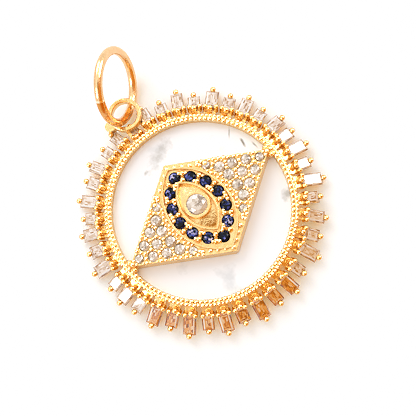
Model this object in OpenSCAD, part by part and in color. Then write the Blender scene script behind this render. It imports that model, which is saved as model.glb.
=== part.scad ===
// Round evil eye pendant, lying face up with its loose ring leaning on the surface beside it.
// +Z comes out of the face, the flat back is at z = 0 and +Y points from the centre to the loop.

/* [Disc] */
// Radius of the mother-of-pearl disc
disc_r = 9.6; // [8.5:0.05:10.5]
// Thickness of the disc
disc_t = 1; // [0.7:0.05:1.2]

/* [Ring round the disc] */
// Height of the ring from its flat back to its polished lip
ring_h = 2.2; // [2:0.05:2.6]
// Thickness of the ring's wall outside the disc
ring_wall = 0.57; // [0.5:0.01:0.9]
// Thickness of the plate behind the disc
back_t = 0.45; // [0.35:0.05:0.6]
// How far the lip covers the edge of the disc
lip_cover = 0.12; // [0.08:0.01:0.3]
// How far the lip's sloping inner side widens towards its top
lip_flare = 0.07; // [0.04:0.01:0.2]
// Width of the lip's polished top
lip_flat = 0.19; // [0.12:0.01:0.3]
// Depth of the step outside the lip that carries the beading
band_drop = 0.14; // [0.08:0.01:0.2]
// Thickness of the beading
band_d = 0.34; // [0.26:0.01:0.42]

/* [Halo of long stones] */
// Distance from the ring's wall to the stones' inner ends
halo_gap = 0.9; // [0.8:0.05:1.1]
// Height of the stones' inner ends above the back
halo_z = 1.9; // [1.8:0.05:2.2]
// Slope of the stones down towards their tips, in degrees
halo_slope = 25; // [20:0.5:26]
// Length of the long stones
long_l = 2.27; // [1.9:0.01:2.4]
// Length of the short stones between them
short_l = 1.77; // [1.5:0.01:2]
// Width of a stone
stone_w = 1.36; // [1.1:0.01:1.45]
// Depth of a stone from its table to its keel
stone_t = 0.64; // [0.5:0.01:0.66]
// Thickness of the prong posts
prong_d = 0.38; // [0.3:0.01:0.44]
// Diameter of the ball that closes each main prong
ball_d = 0.62; // [0.44:0.01:0.68]

/* [Rhombus plaque] */
// Half the plaque's width
plaque_w = 5.9; // [5.4:0.05:6.4]
// Height of the plaque's top above the back
plaque_z = 2.85; // [2.7:0.05:3.2]
// How far the plaque's sides spread towards the disc
plaque_flare = 0.2; // [0.1:0.01:0.3]
// Width of the small flats on the plaque's blunt corners
plaque_blunt = 0.3; // [0.1:0.05:0.6]
// Width of the pads that join the plaque's tips to the ring
pad_d = 1.5; // [1.2:0.05:1.8]
// Diameter of the two balls on each pad
pad_ball = 0.62; // [0.5:0.01:0.7]
// Diameter of the small diamonds at the plaque's ends
pave_d = 1.25; // [1:0.01:1.3]

/* [Eye] */
// Half the eye's length, along +Y
eye_l = 5.36; // [5:0.02:5.5]
// Half the eye's width
eye_w = 3.46; // [3.3:0.02:3.6]
// Height of the walls round the eye and round its pupil plate
eye_wall_h = 0.28; // [0.1:0.01:0.4]
// Thickness of these walls
eye_wall_t = 0.2; // [0.14:0.01:0.24]
// Half the length of the plate round the pupil
pupil_l = 3.02; // [2.9:0.02:3.2]
// Half the width of that plate
pupil_w = 1.62; // [1.5:0.02:1.7]
// How far the plate's middle lies from the middle of the pendant, towards the loop
pupil_y = 0.3; // [0:0.05:0.4]
// Radius of the plate's gentle dome
dome_r = 16; // [12:1:30]
// Depth of the dome's top below the plaque's top
dome_d = 0.08; // [0:0.01:0.2]
// Diameter of the blue stones
sapphire_d = 1.3; // [1.1:0.01:1.34]
// Diameter of the beads that hold the blue stones
bead_d = 0.64; // [0.4:0.01:0.68]
// Diameter of the stone in the middle of the eye
centre_d = 2.4; // [2:0.05:2.5]
// How far that stone lies from the middle of the pendant, towards the loop
centre_y = 0.38; // [0.2:0.02:0.6]
// Height of the bezel above the plaque's top
bezel_h = 0.62; // [0.5:0.02:0.8]
// Thickness of the bezel's wall at its top
bezel_t = 0.2; // [0.15:0.01:0.3]
// How far the bezel spreads towards its foot
bezel_flare = 0.1; // [0:0.01:0.2]

/* [Loop and loose ring] */
// Distance from the ring's wall to the middle of the loop
loop_out = 3.04; // [2.95:0.01:3.2]
// Height of the loop's middle above the back
loop_z = 1.75; // [1.7:0.01:1.85]
// Outer radius of the loop
loop_r = 1.84; // [1.8:0.01:2]
// Thickness of the loop's wall
loop_t = 0.48; // [0.36:0.01:0.5]
// Height of the loop's wall
loop_h = 0.9; // [0.7:0.01:0.95]
// How far the loop stands clockwise of the first stone, in degrees
loop_turn = 1.7; // [0:0.1:3]
// Outer diameter of the loose ring
jump_d = 8.44; // [8.2:0.02:8.8]
// Thickness of the loose ring's wire
jump_wire = 0.92; // [0.7:0.02:0.96]
// Lean of the loose ring from lying flat, in degrees
jump_lean = 73.5; // [71:0.5:76]
// Direction of the loose ring's level diameter, in degrees from +X
jump_turn = 45; // [42:1:47]

/* [Fit] */
// Clearance round each piece that is set in metal
fit = 0.02; // [0.01:0.005:0.04]

/* [Hidden] */
$fn = 48;
STONES = 40;
STEP = 360 / STONES;
function baguette_name(i) = str("baguette_", i < 10 ? "0" : "", i);

gold = "#e8b66a";
clear_stone = "#e9e4dc";
blue_stone = "#1b2a66";
pearl = "#f4f3f0";

// Places that follow from the sizes above
pocket_r = disc_r + fit;
ring_r = pocket_r + ring_wall;
ring_edge = 0.2;
disc_z = back_t + fit;
disc_top = disc_z + disc_t;
lip_low_r = disc_r - lip_cover;
lip_top_r = lip_low_r + lip_flare;
band_r = lip_top_r + lip_flat;
band_z = ring_h - band_drop;
halo_r = ring_r + halo_gap;
loop_y = ring_r + loop_out;
// Half the plaque's length: its tips meet the lip
plaque_l = lip_low_r;
plaque_tilt = atan(plaque_w / plaque_l);
plaque_half = plaque_l * sin(plaque_tilt);
// The plaque clears the disc by more than the lip does
plaque_bottom = disc_top + 2 * fit;
EPS = 0.01;

// Each halo stone, clockwise from the one beside the loop: degrees off its even place (clockwise is
// more), degrees of turn about its own middle, and its length and width as shares of a normal stone's
TURN = 0;
YAW = 1;
LENGTH = 2;
WIDTH = 3;
HALO = [
    [0.4, 2, 0.94, 0.98],
    [0.8, 1, 0.94, 1.00],
    [0.8, -1, 1.06, 0.97],
    [0.5, 3, 0.90, 0.98],
    [0.6, 0, 1.03, 1.04],
    [0.7, 2, 1.00, 0.98],
    [0.4, 3, 1.01, 1.00],
    [0.0, 0, 0.94, 0.94],
    [0.2, -3, 0.97, 1.03],
    [-0.9, -2, 1.05, 0.96],
    [-1.4, -3, 1.00, 1.02],
    [-1.6, 2, 0.96, 0.92],
    [-1.6, -3, 1.06, 1.00],
    [-1.5, 3, 0.90, 0.92],
    [-1.0, -3, 0.96, 0.94],
    [-0.4, 3, 1.02, 0.96],
    [-0.8, -5, 1.03, 1.00],
    [0.2, -2, 0.93, 0.92],
    [0.0, 0, 0.97, 0.98],
    [0.2, 2, 1.05, 0.94],
    [0.4, -2, 1.03, 0.96],
    [0.8, 0, 0.99, 0.98],
    [0.8, 2, 0.99, 1.02],
    [0.5, 0, 1.00, 0.92],
    [0.8, 1, 1.04, 0.98],
    [0.8, 1, 1.06, 0.96],
    [0.8, 1, 1.02, 1.02],
    [1.1, -5, 1.05, 0.98],
    [0.6, -2, 0.92, 1.02],
    [-0.4, 4, 0.97, 0.94],
    [0.6, -1, 1.02, 1.03],
    [0.8, -3, 1.06, 1.02],
    [1.0, -2, 0.98, 1.01],
    [0.0, -3, 0.99, 0.96],
    [-0.2, -4, 1.06, 1.02],
    [0.4, -5, 1.12, 1.03],
    [-0.4, -2, 1.04, 0.96],
    [0.0, -3, 0.96, 0.94],
    [-0.3, 2, 0.87, 0.90],
    [0.0, 0, 0.85, 0.86]
];
// The last stone, under the loop, is set this far in and this far down
tucked = 0.4;
sunk = 0.45;

// Step cut of a halo stone, from table to keel: how far each edge lies in from the stone's side, as a
// share of half its width, and how deep it lies, as a share of the stone's depth
CUT = [[0.36, 0], [0.14, 0.1], [0, 0.24], [0, 0.31], [0.3, 0.66], [0.96, 1]];

// Small diamonds on one end of the plaque: place as shares of the plaque's half length and half width,
// and diameter as a share of pave_d; a stone off the middle line has a twin across it
PAVE = [
    [0.357, 0.510, 0.80],
    [0.460, 0.332, 1.00],
    [0.594, 0.240, 0.95],
    [0.482, 0.120, 1.00],
    [0.614, 0, 0.96],
    [0.734, 0.122, 0.92],
    [0.866, 0, 0.80]
];

// Cut of a round stone: heights as shares of its diameter, radii as shares of its radius
crown_h = 0.15;
girdle_h = 0.04;
pavilion_h = 0.43;
table_r = 0.56;
star_r = 0.8;
pavilion_r = 0.25;
MAINS = 8;

// Heights of the round stones' girdles: the small diamonds lie a little below the plaque's top, the blue
// stones a little above it, and the middle one below the top of its bezel
pave_sink = 0.02;
sapphire_rise = 0.06;
centre_sink = 0.1;
pave_z = plaque_z - pave_sink;
sapphire_z = plaque_z + sapphire_rise;
bezel_z = plaque_z + bezel_h;
centre_z = bezel_z - centre_sink;

function is_long(i) = i % 2 == 1;
function stone_len(i) = (is_long(i) ? long_l : short_l) * HALO[i - 1][LENGTH];
function stone_width(i) = stone_w * HALO[i - 1][WIDTH];
function stone_inset(i) = i == STONES ? tucked : 0;
function stone_drop(i) = i == STONES ? sunk : 0;

// Moves its children to halo stone i: x runs outwards along the stone, z = 0 is its table
module at_stone(i) {
    turn = 90 - STEP * i - HALO[i - 1][TURN];
    yaw = HALO[i - 1][YAW];
    rotate([0, 0, turn]) translate([halo_r, 0, halo_z - stone_drop(i)]) rotate([0, halo_slope, 0])
        translate([stone_len(i) / 2 - stone_inset(i), 0, 0]) rotate([0, 0, yaw])
            translate([-stone_len(i) / 2, 0, 0]) children();
}

// Outline of the step cut for a side of the given half width
function cut_outline(half, side, depth) = concat(
    [for (s = CUT) [half - s[0] * side, -s[1] * depth]],
    [for (k = [len(CUT) - 1:-1:0]) [-half + CUT[k][0] * side, -CUT[k][1] * depth]]
);

// Step-cut stone of length l and width w from x = 0, with room to grow by extra all round
module step_cut(l, w, extra = 0) {
    half_l = l / 2 + extra;
    half_w = w / 2 + extra;
    depth = stone_t + 2 * extra;
    translate([l / 2, 0, extra]) intersection() {
        translate([0, half_w, 0]) rotate([90, 0, 0])
            linear_extrude(2 * half_w) polygon(cut_outline(half_l, half_w, depth));
        translate([-half_l, 0, 0]) rotate([90, 0, 90])
            linear_extrude(2 * half_l) polygon(cut_outline(half_w, half_w, depth));
    }
}

// Eight-fold brilliant with its girdle's upper edge at z = 0
module brilliant(d) {
    r = d / 2;
    crown = crown_h * d;
    girdle = girdle_h * d;
    pavilion = pavilion_h * d;
    turn = 360 / MAINS;
    reach = cos(turn / 2);
    star_z = crown * (1 - star_r * reach) / (1 - table_r);
    lower_z = -girdle - pavilion * (1 - pavilion_r * reach);
    points = concat(
        [for (k = [0:MAINS - 1]) r * table_r * [cos(turn * k), sin(turn * k), 0] + [0, 0, crown]],
        [for (k = [0:MAINS - 1]) let (a = turn * (k + 0.5)) [r * star_r * cos(a), r * star_r * sin(a), star_z]],
        [for (k = [0:2 * MAINS - 1]) let (a = turn * k / 2) [r * cos(a), r * sin(a), 0]],
        [for (k = [0:2 * MAINS - 1]) let (a = turn * k / 2) [r * cos(a), r * sin(a), -girdle]],
        [for (k = [0:MAINS - 1]) let (a = turn * (k + 0.5), q = r * pavilion_r) [q * cos(a), q * sin(a), lower_z]],
        [[0, 0, -girdle - pavilion]]
    );
    star = MAINS;
    top = 2 * MAINS;
    low = 4 * MAINS;
    under = 6 * MAINS;
    culet = 7 * MAINS;
    ring = 2 * MAINS;
    faces = concat(
        [[for (k = [MAINS - 1:-1:0]) k]],
        [for (k = [0:MAINS - 1]) [k, (k + 1) % MAINS, star + k]],
        [for (k = [0:MAINS - 1]) [k, star + k, top + 2 * k, star + (k + MAINS - 1) % MAINS]],
        [for (k = [0:MAINS - 1]) [star + k, top + 2 * k + 1, top + 2 * k]],
        [for (k = [0:MAINS - 1]) [star + k, top + (2 * k + 2) % ring, top + 2 * k + 1]],
        [for (k = [0:ring - 1]) [top + k, top + (k + 1) % ring, low + (k + 1) % ring, low + k]],
        [for (k = [0:MAINS - 1]) [under + k, low + 2 * k, low + 2 * k + 1]],
        [for (k = [0:MAINS - 1]) [under + k, low + 2 * k + 1, low + (2 * k + 2) % ring]],
        [for (k = [0:MAINS - 1]) [culet, under + (k + MAINS - 1) % MAINS, low + 2 * k, under + k]]
    );
    polyhedron(points, faces);
}

// Room for a round stone: its crown, girdle and pavilion with the clearance all round
module seat(d) {
    r = d / 2 + fit;
    cylinder(h = crown_h * d + fit, r1 = r, r2 = r * table_r);
    translate([0, 0, -girdle_h * d]) cylinder(h = girdle_h * d + EPS, r = r);
    translate([0, 0, -(girdle_h + pavilion_h) * d - fit])
        cylinder(h = pavilion_h * d + fit + EPS, r1 = 0, r2 = r);
}

// Almond of half length l and half width w, grown outwards by extra, from z0 up
module almond(l, w, extra, z0, h) {
    r = (l * l + w * w) / (2 * w);
    translate([0, 0, z0]) intersection() {
        translate([r - w, 0, 0]) cylinder(h = h, r = r + extra);
        translate([w - r, 0, 0]) cylinder(h = h, r = r + extra);
    }
}

// Middle line of the blue stones: an almond halfway between the eye's wall and the pupil plate's, a
// little shorter and narrower than that, and moved towards the loop
row_short = 0.29;
row_slim = 0.06;
row_y = 0.1;
row_l = (eye_l + pupil_l + eye_wall_t) / 2 - row_short;
row_w = (eye_w + pupil_w + eye_wall_t) / 2 - row_slim;
row_r = (row_l * row_l + row_w * row_w) / (2 * row_w);
ROW_STONES = 12;
row_half = asin(row_l / row_r);
row_step = 4 * row_half / ROW_STONES;
// Place k along the row, counted in stones from the lower tip, up the right side and down the left;
// side moves it outwards
function row_place(k, side = 0) =
    let (
        right = k <= ROW_STONES / 2,
        a = -row_half + row_step * (right ? k : ROW_STONES - k),
        sign = right ? 1 : -1
    )
    [sign * ((row_r + side) * cos(a) - row_r + row_w), (row_r + side) * sin(a) + row_y];

// How far the middle of the beading lies above its step
bead_rise = 0.04;
// How far the pads at the plaque's tips stand above the lip
pad_rise = 0.1;

module ring_round_disc() {
    rotate_extrude() polygon([
        [0, 0],
        [ring_r - ring_edge, 0],
        [ring_r, ring_edge],
        [ring_r, band_z],
        [band_r, band_z],
        [band_r, ring_h],
        [lip_top_r, ring_h],
        [lip_low_r, disc_top + fit],
        [pocket_r, disc_top + fit],
        [pocket_r, back_t],
        [0, back_t]
    ]);
    translate([0, 0, band_z + bead_rise]) rotate_extrude()
        translate([(band_r + ring_r) / 2, 0]) circle(d = band_d);
}

// Prong setting of a halo stone: a rail, a root in the ring's wall, a ball prong at each end and two
// round claws over the inner corners
root_l = (halo_gap + ring_wall / 4) / cos(halo_slope);
root_h = 0.85;
root_top = 0.42;
root_in = 0.1;
root_w = 0.88;
rail_w = 0.76;
rail_top = 0.4;
rail_under = 0.12;
rail_low = stone_t + rail_under;
claw_d = 0.52;
claw_in = 0.12;
claw_low = 0.06;
prong_side = 0.1;
module setting(l, w, root) {
    translate([-root, -root_w * w / 2, -root_top - root_h]) cube([root + root_in, root_w * w, root_h]);
    translate([-EPS, -rail_w * w / 2, -rail_low]) cube([l + prong_d / 2, rail_w * w, rail_low - rail_top]);
    for (side = [-1, 1]) translate([claw_in, side * (w / 2 - claw_in), 0]) {
        translate([0, 0, -rail_low]) cylinder(h = rail_low - claw_low, d = claw_d);
        translate([0, 0, -claw_low]) sphere(d = claw_d);
    }
    translate([-prong_d / 3, prong_side, -rail_low]) cylinder(h = rail_low, d = prong_d);
    translate([-prong_d / 3, prong_side, 0]) sphere(d = ball_d);
    translate([l + prong_d / 3, 0, -rail_low]) cylinder(h = rail_low, d = prong_d);
    translate([l + prong_d / 3, 0, 0]) sphere(d = ball_d);
}

// One pair of sloping sides of the plaque, its run turned to the given angle
module plaque_band(angle) {
    length = 3 * plaque_l;
    rotate([0, 0, angle]) translate([-length / 2, 0, 0]) rotate([90, 0, 90]) linear_extrude(length)
        polygon([
            [-plaque_half - plaque_flare, plaque_bottom],
            [plaque_half + plaque_flare, plaque_bottom],
            [plaque_half, plaque_z],
            [-plaque_half, plaque_z]
        ]);
}

module plaque_body() {
    blunt_y = plaque_w + plaque_flare - plaque_blunt / 2 * tan(plaque_tilt);
    intersection() {
        plaque_band(plaque_tilt);
        plaque_band(-plaque_tilt);
        translate([-ring_r, -blunt_y, 0]) cube([2 * ring_r, 2 * blunt_y, 2 * plaque_z]);
        cylinder(h = 2 * plaque_z, r = (lip_top_r + band_r) / 2);
    }
}

// A pad under each of the plaque's tips, with a ball on either side of the tip
module tip_pads() {
    pad_z = ring_h + pad_rise;
    for (side = [-1, 1]) {
        intersection() {
            translate([side * plaque_l, 0, plaque_bottom]) cylinder(h = pad_z - plaque_bottom, d = pad_d);
            cylinder(h = pad_z, r = band_r);
        }
        for (twin = [-1, 1])
            translate([side * (plaque_l - pad_ball / 4), twin * pad_ball * 0.72, pad_z]) sphere(d = pad_ball);
    }
}

// The beads that hold the blue stones stand in pairs between them: half a pair's spread, and how far they
// lie above the stones' girdles
bead_side = 0.54 * sapphire_d / 2;
bead_lift = 0.05;
module eye_walls() {
    difference() {
        almond(eye_l, eye_w, 0, plaque_z - EPS, eye_wall_h + EPS);
        almond(eye_l, eye_w, -eye_wall_t, plaque_z - 2 * EPS, eye_wall_h + 1);
    }
    translate([0, pupil_y, 0])
        almond(pupil_l, pupil_w, eye_wall_t, plaque_z - EPS, eye_wall_h + EPS);
    for (k = [0:ROW_STONES - 1], side = [-1, 1])
        translate(concat(row_place(k + 0.5, side * bead_side), sapphire_z + bead_lift)) sphere(d = bead_d);
}

// The plate's floor and the bezel's foot reach halfway down the plaque
foot_z = (plaque_bottom + plaque_z) / 2;

// What is cut away above the plate's dome
module above_dome() {
    difference() {
        translate([0, pupil_y, 0]) almond(pupil_l, pupil_w, 0, foot_z, plaque_z);
        translate([0, pupil_y, plaque_z - dome_d - dome_r]) sphere(r = dome_r);
    }
}

module bezel() {
    top_r = centre_d / 2 + bezel_t;
    translate([0, centre_y, foot_z])
        cylinder(h = bezel_z - foot_z, r1 = top_r + bezel_flare, r2 = top_r);
}

module pave_places(side) {
    for (p = PAVE, twin = p[1] == 0 ? [1] : [-1, 1])
        translate([side * p[0] * plaque_l, twin * p[1] * plaque_w, pave_z]) {
            $d = p[2] * pave_d;
            children();
        }
}

// The fixed loop: a lug on each side runs back to the ring between the stones, low down, and a shoulder
// joins it to the setting of the last full stone
lug_w = 0.4;
lug_x = 0.88;
lug_h = 0.7;
lug_in = 0.12;
loop_edge = 0.09;
shoulder_d = 1.15;
shoulder_drop = 0.2;
shoulder_low = 0.35;
module loop() {
    hole_r = loop_r - loop_t;
    low = -loop_h / 2;
    high = loop_h / 2;
    rotate([0, 0, -loop_turn]) {
        translate([0, loop_y, loop_z]) rotate_extrude() polygon([
            [hole_r + loop_edge, low],
            [loop_r - loop_edge, low],
            [loop_r, low + loop_edge],
            [loop_r, high - loop_edge],
            [loop_r - loop_edge, high],
            [hole_r + loop_edge, high],
            [hole_r, high - loop_edge],
            [hole_r, low + loop_edge]
        ]);
        lug_end = loop_y - sqrt(pow(loop_r - loop_t / 2, 2) - lug_x * lug_x);
        for (side = [-1, 1])
            translate([side * lug_x - lug_w / 2, ring_r - ring_wall / 2, loop_z + low + lug_in - lug_h])
                cube([lug_w, lug_end - ring_r + ring_wall / 2, lug_h]);
        translate([-loop_r - shoulder_d / 6, loop_y, loop_z + low - shoulder_low])
            cylinder(h = loop_h - shoulder_drop + shoulder_low, d = shoulder_d);
    }
}

module gold_frame() {
    color(gold) difference() {
        union() {
            ring_round_disc();
            // The settings' roots end inside the ring's wall, clear of the disc
            difference() {
                for (i = [1:STONES]) at_stone(i)
                    setting(stone_len(i), stone_width(i), root_l - stone_inset(i));
                cylinder(h = ring_h, r = pocket_r + ring_wall / 4);
            }
            loop();
            difference() {
                union() {
                    plaque_body();
                    eye_walls();
                }
                above_dome();
            }
            tip_pads();
            bezel();
        }
        for (i = [1:STONES]) at_stone(i) step_cut(stone_len(i), stone_width(i), fit);
        for (k = [0:ROW_STONES - 1]) translate(concat(row_place(k), sapphire_z)) seat(sapphire_d);
        for (side = [-1, 1]) pave_places(side) seat($d);
        translate([0, centre_y, centre_z]) seat(centre_d);
    }
}

module pearl_disc() {
    color(pearl) translate([0, 0, disc_z]) cylinder(h = disc_t, r = disc_r);
}

// The loose ring stands on the surface, leans over and passes down through the loop, this far off the
// loop's middle where it is level with it
pass = [-0.343, -0.286];
module jump_ring() {
    r = (jump_d - jump_wire) / 2;
    centre_h = jump_wire / 2 + r * sin(jump_lean);
    angle = 180 - asin((loop_z - centre_h) / (r * sin(jump_lean)));
    level = [cos(jump_turn), sin(jump_turn)];
    slope = [-sin(jump_turn), cos(jump_turn)] * cos(jump_lean);
    crossing = loop_y * [sin(loop_turn), cos(loop_turn)] + pass;
    centre = crossing - r * (cos(angle) * level + sin(angle) * slope);
    color(gold) translate(concat(centre, centre_h)) rotate([0, 0, jump_turn]) rotate([jump_lean, 0, 0])
        rotate_extrude() translate([r, 0]) circle(d = jump_wire);
}

module centre_diamond() {
    color(clear_stone) translate([0, centre_y, centre_z]) brilliant(centre_d);
}

module sapphires() {
    color(blue_stone) for (k = [0:ROW_STONES - 1])
        translate(concat(row_place(k), sapphire_z)) rotate([0, 0, 17 * k]) brilliant(sapphire_d);
}

module pave_left() {
    color(clear_stone) pave_places(-1) brilliant($d);
}

module pave_right() {
    color(clear_stone) pave_places(1) brilliant($d);
}

module baguette(i) {
    color(clear_stone) at_stone(i) step_cut(stone_len(i), stone_width(i));
}

gold_frame();
pearl_disc();
jump_ring();
centre_diamond();
sapphires();
pave_left();
pave_right();
for (i = [1:STONES]) baguette(i);
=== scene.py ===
"""Round evil eye pendant, lying face up on a white table with its loose ring leaning beside it.

The frame's own solids are kept and finished. The script adds what is too fine for them: the beading
round the ring, the beaded edges of the plaque and the grains between its small diamonds.
"""

import math

import bpy
import numpy as np
from mathutils import Matrix, Vector


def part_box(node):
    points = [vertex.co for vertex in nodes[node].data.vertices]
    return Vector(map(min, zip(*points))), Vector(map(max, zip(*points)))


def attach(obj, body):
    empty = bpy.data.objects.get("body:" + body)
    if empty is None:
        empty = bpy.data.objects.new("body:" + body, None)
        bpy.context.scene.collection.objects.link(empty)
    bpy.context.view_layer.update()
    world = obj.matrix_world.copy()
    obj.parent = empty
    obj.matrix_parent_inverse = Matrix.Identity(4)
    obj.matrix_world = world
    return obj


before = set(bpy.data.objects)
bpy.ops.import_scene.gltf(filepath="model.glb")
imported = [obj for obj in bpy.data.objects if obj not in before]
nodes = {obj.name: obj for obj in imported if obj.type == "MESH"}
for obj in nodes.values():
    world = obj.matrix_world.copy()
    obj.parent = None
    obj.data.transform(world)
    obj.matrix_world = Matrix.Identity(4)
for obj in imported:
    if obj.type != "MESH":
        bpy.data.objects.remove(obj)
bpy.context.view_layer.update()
scene = bpy.context.scene

MM = 0.001


# ---------------------------------------------------------------- small helpers


def linear(hex_code, alpha=1.0):
    """An sRGB hex colour as the linear values that Blender's sockets take."""
    parts = [int(hex_code[i : i + 2], 16) / 255 for i in (1, 3, 5)]
    low = [c / 12.92 if c <= 0.04045 else ((c + 0.055) / 1.055) ** 2.4 for c in parts]
    return (*low, alpha)


def add(tree, kind, inputs=None, stops=None, **settings):
    """Adds a node, sets its properties and colour stops, and fills its inputs with links or values."""
    node = tree.nodes.new(kind)
    for name, value in settings.items():
        setattr(node, name, value)
    for i, (place, colour) in enumerate(stops or []):
        stop = node.color_ramp.elements[i] if i < 2 else node.color_ramp.elements.new(place)
        stop.position, stop.color = place, linear(colour)
    for name, value in (inputs or {}).items():
        socket = node.inputs[name] if isinstance(name, int) else next(
            i for i in node.inputs if i.name == name and i.enabled)
        if isinstance(value, bpy.types.NodeSocket):
            tree.links.new(value, socket)
        else:
            socket.default_value = value
    return node


def new_material(name):
    """An empty node material and its output node."""
    material = bpy.data.materials.new(name)
    material.use_nodes = True
    tree = material.node_tree
    tree.nodes.clear()
    return material, tree, add(tree, "ShaderNodeOutputMaterial")


def object_coordinates(tree):
    return add(tree, "ShaderNodeTexCoord").outputs["Object"]


def dress(material, *names):
    """Gives CAD nodes their finish."""
    for name in names:
        mesh = nodes[name].data
        mesh.materials.clear()
        mesh.materials.append(material)


# ---------------------------------------------------------------- sizes and colours

# Rows of beads round the ring: radius, height of the beads' middles, pitch and bead
BAND_ROWS = [(9.7, 2.17, 0.5, 0.5), (10.08, 2.12, 0.43, 0.42)]
# Points that such a row's circle is drawn with
RING_POINTS = 360

# The plaque: half its length and width at its top, and the height of that top
PLAQUE_L = 9.48
PLAQUE_W = 5.9
PLAQUE_Z = 2.85
# Small diamonds at each end: place as shares of the plaque's half length and width, and diameter
PAVE = [(0.357, 0.510, 1.0), (0.460, 0.332, 1.25), (0.594, 0.240, 1.19), (0.482, 0.120, 1.25),
        (0.614, 0, 1.2), (0.734, 0.122, 1.15), (0.866, 0, 1.0)]
# The almond eye: half its length along +Y and half its width, with its outer wall
EYE_L = 5.36
EYE_W = 3.46
# Edge beads at the blunt corners: size, pitch, how far in from the edge, and the share of each edge that
# they take up from the corner
EDGE_BEAD = 0.55
EDGE_PITCH = 0.67
EDGE_INSET = 0.42
EDGE_SHARE = 0.36
# Grains raised between the small diamonds: largest and smallest size, step of the search for their places,
# the least gap that gets one, how far one reaches over its neighbours, and how high its middle lies over
# the plaque's top
GRAIN_MAX = 0.46
GRAIN_MIN = 0.3
GRAIN_STEP = 0.04
GRAIN_GAP = 0.06
GRAIN_OVERLAP = 0.14
GRAIN_RISE = 0.02
# Room left beside the plaque's edges and the eye, and where the grains start along the plaque, as a share
# of its half length
EDGE_ROOM = 0.14
PAVE_START = 0.3
# The row of blue stones: an arc on each side of the eye. Its radius, half the row's width, how far its
# middle lies towards the loop, the angle from stone to stone, a stone's radius, and the number of stones
ROW_R = 4.391
ROW_W = 2.58
ROW_Y = 0.1
ROW_STEP = math.radians(21.884)
SAPPHIRE_R = 0.65
ROW_STONES = 12
# Beads pushed over the blue stones' edges: size, height, how far along the row from a stone's middle as a
# share of a step, and how far to its side
ROW_BEAD = 0.42
ROW_BEAD_Z = 3.02
ROW_BEAD_ALONG = 0.3
ROW_BEAD_SIDE = 0.4
# How much the beads' sizes differ, as a share: on the ring, along the plaque's edges, over the blue stones
# and between the small diamonds; and the seed of these differences
BAND_UNEVEN = 0.12
EDGE_UNEVEN = 0.08
ROW_UNEVEN = 0.2
GRAIN_UNEVEN = 0.08
BEAD_SEED = 7

# Values that nearly all of Blender's noise lies between
NOISE = (0.3, 0.7)
# Polished gold, in mm: the casting's waves and the tumbling's grain with their depths, how near a wall
# makes a corner, and how far polishing rounds an edge
WAVE = 0.5
WAVE_DEPTH = 0.08
TUMBLING = 0.12
TUMBLING_DEPTH = 0.012
CORNER = 0.35
ROUNDING = 0.07
# The share of open space round a place in a corner, and round one on free gold
CORNER_OPEN = (0.25, 0.8)
# Roughness from the smoothest to the dullest place, and roughness and metallic share in the corners
POLISHED = (0.1, 0.24)
CORNER_ROUGHNESS = 0.5
CORNER_METAL = 0.4
# How strongly the waves show in cast gold and in drawn wire
CAST_WAVES = 0.6
WIRE_WAVES = 0.25
# Colours from the waves' troughs to their crests, and the painted shade in the corners, a deeper orange that
# stands in for light bounced between the gold walls
GOLD_TONES = [(0.3, "#efca8c"), (0.7, "#f7d8a0")]
GOLD_CORNER_SHADE = "#f7cb80"
WIRE_TONES = [(0.3, "#eec494"), (0.7, "#f4d0a2")]
# The beads' paler tones are a painted highlight, for the extra light that their small round faces catch
BEAD_HIGHLIGHT_TONES = [(0.3, "#f5dfb0"), (0.7, "#fceec8")]
BEAD_CORNER_SHADE = "#f7cf88"
# The loose ring's seam, in mm: a place on the wire, the wire's direction there, half the line's width, how
# far the heat's tint reaches, and over what length it starts
SEAM_PLACE = (-0.633, 14.376, 6.839)
SEAM_ALONG = (-0.413, -0.671, -0.616)
SEAM_WIDTH = 0.16
SEAM_REACH = 3
SEAM_START = 0.1
SEAM_LINE = "#ffe9c8"
SEAM_TINT = "#dd9c58"
# Tones of single facets, painted reflections: a place between the darkest shade (0) and the lightest (1), and
# its colour. The ends come first, because a new ramp has them already.
WHITE_TONES = [(0.0, "#6c5842"), (1.0, "#ffffff"), (0.2, "#b09a80"), (0.5, "#dfd2c0"), (0.78, "#f6efe6")]
BLUE_TONES = [(0.0, "#010206"), (1.0, "#c4c0d6"), (0.42, "#050818"), (0.58, "#182658"), (0.76, "#4e5cae")]
PALE_TONES = [(0.0, "#8a5624"), (1.0, "#ffffff"), (0.16, "#c4986a"), (0.4, "#e6d0ba"), (0.72, "#f7ede4")]
WARM_REFLECTION_TONES = [(0.0, "#5a2a08"), (1.0, "#fffaf0"), (0.2, "#c06a1c"), (0.48, "#ee9a34"), (0.74, "#fcca84")]
SOFT_WARM_REFLECTION_TONES = [(0.0, "#7a4416"), (1.0, "#ffffff"), (0.18, "#c68a48"), (0.42, "#e9c79c"), (0.7, "#f9ead6")]
# The halo's stones, counted clockwise from the loop. All are pale champagne; these, on the side away from the
# light, take warmer tones, painted reflections of the gold and of the warm side of the room
STONES = 40
WARM_REFLECTION_STONES = range(19, 28)
SOFT_WARM_REFLECTION_STONES = range(14, 19)
# Steps seen across half of a step-cut stone
STEPS_SEEN = 4.6
# Painted reflections of the far side's steps: streaks to half a stone's width along it, across it and down,
# and their share of the shade
STREAKS_SEEN = (0.7, 5.0, 0.7)
STREAK_SHARE = 0.25
# Facets of the far side cut each step into lengths: how many to half a stone's width, and their slant
CUTS_SEEN = 1.6
CUTS_SLANT = 0.7
# The step that carries a painted highlight along a long side, counted from 0 at the edge, and the share of
# the long sides that do
GLINT_STEP = 1.0
GLINT_SHARE = 0.45
# A round stone seen from above: the rings across half of it, and its folds
RINGS_SEEN = 3.4
FOLDS = 8
# The painted wide, soft reflection across a round stone's facets: its share of the shade, its waves to the
# stone's half width, and the values of its noise that are spread over the full range
SWEEP_SHARE = 0.35
SWEEP_WAVES = 0.9
SWEEP_NOISE = (0.35, 0.65)
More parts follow.
